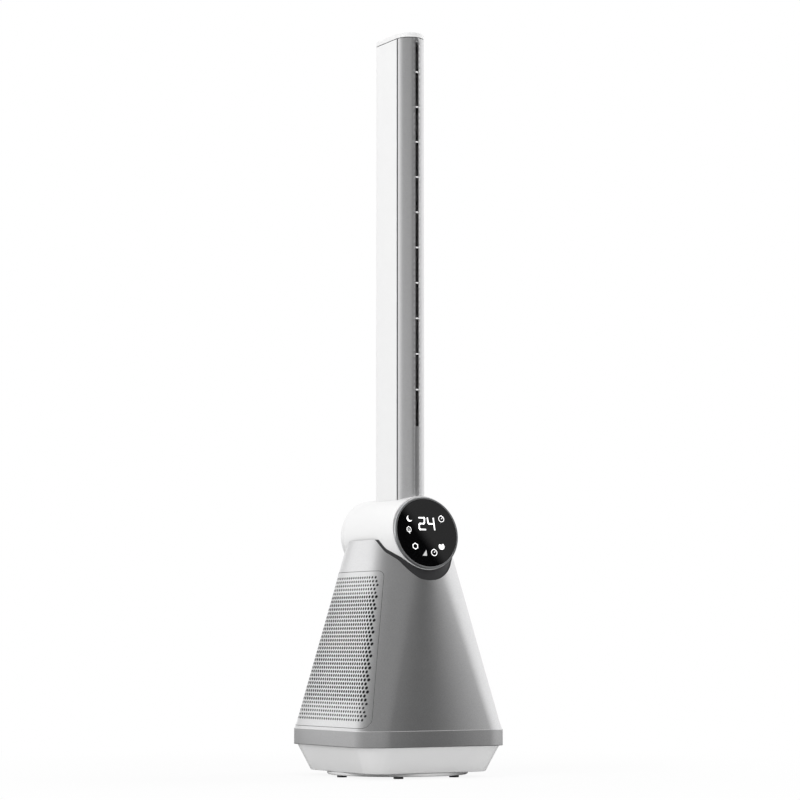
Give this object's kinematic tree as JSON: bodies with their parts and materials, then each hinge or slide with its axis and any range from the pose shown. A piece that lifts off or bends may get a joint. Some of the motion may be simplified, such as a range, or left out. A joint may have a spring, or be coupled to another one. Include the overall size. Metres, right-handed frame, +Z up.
{
  "type": "bladeless tower fan",
  "caption": "Free-standing bladeless tower fan: a slim air column on a round neck with a display, over a tapered silver body with side grilles that swings on a weighted disc.",
  "frame": {"origin": "on the floor, under the middle of the fan's box and on its swing axis", "axes": "+Z up along the swing axis, display and air slot towards -Y, +X to the viewer's right"},
  "size_m": [0.208, 0.208, 0.9345],
  "materials": {
    "rubber": "matt black rubber",
    "dark_plastic": "fine-grained dark grey moulding",
    "steel": "zinc-plated steel",
    "white_plastic": "smooth satin-gloss white moulding",
    "gear_plastic": "natural low-friction plastic",
    "brass": "turned brass",
    "silver_paint": "fine metallic silver paint on plastic",
    "ring_metal": "turned satin aluminium",
    "black_plastic": "black moulding",
    "display_glass": "black back-printed glass, opaque",
    "circuit_board": "green circuit board",
    "copper_winding": "enamelled copper windings on a steel core"
  },
  "bodies": {
    "stand": {"rubber_feet": "rubber", "stand_disc": "white_plastic", "ballast_plate": "steel", "ballast_screws": "steel", "swivel_spindle": "steel", "spindle_screws": "steel", "glide_ring": "gear_plastic", "spindle_washer": "steel", "swivel_gear": "gear_plastic", "spindle_nut": "steel"},
    "tower": {"duct_mounts": "rubber", "duct_gasket": "rubber", "cap_seal": "rubber", "chassis_plate": "dark_plastic", "fan_duct": "dark_plastic", "diffuser": "dark_plastic", "neck_collar": "dark_plastic", "neck_bulkhead": "dark_plastic", "column_socket": "dark_plastic", "column_guide": "dark_plastic", "swivel_motor": "steel", "motor_bearings": "steel", "base_screws": "steel", "body_screws": "steel", "swivel_motor_screws": "steel", "duct_screws": "steel", "motor_screws": "steel", "column_screws": "steel", "base_pan": "white_plastic", "neck_housing": "white_plastic", "neck_rear_cap": "white_plastic", "column_shell": "white_plastic", "column_cap": "white_plastic", "inlet_pins": "brass", "body_shell": "silver_paint", "left_grille": "silver_paint", "right_grille": "silver_paint", "column_front": "silver_paint", "nozzle_strip": "silver_paint", "display_ring": "ring_metal", "power_inlet": "black_plastic", "display_mask": "black_plastic", "display_glass": "display_glass", "power_board": "circuit_board", "display_board": "circuit_board", "motor_stator": "copper_winding"},
    "impeller_unit": {"impeller": "black_plastic", "impeller_nut": "brass", "motor_shaft": "steel", "motor_rotor": "steel"},
    "drive_pinion": {"swivel_pinion": "brass"}
  },
  "joints": [
    {"name": "swing", "type": "hinge", "parent": "stand", "child": "tower", "pos_m": [0, 0, 0.014], "axis": [0, 0, 1], "range_deg": [-40, 40]},
    {"name": "fan_spin", "type": "hinge", "parent": "tower", "child": "impeller_unit", "pos_m": [0, 0, 0.13], "axis": [0, 0, 1], "continuous": true},
    {"name": "pinion_spin", "type": "hinge", "parent": "tower", "child": "drive_pinion", "pos_m": [0.026, 0, 0.0265], "axis": [0, 0, 1], "range_deg": [-140, 140]}
  ],
  "couplings": [
    {"joint": "pinion_spin", "follows": "swing", "ratio": 3.3333}
  ]
}
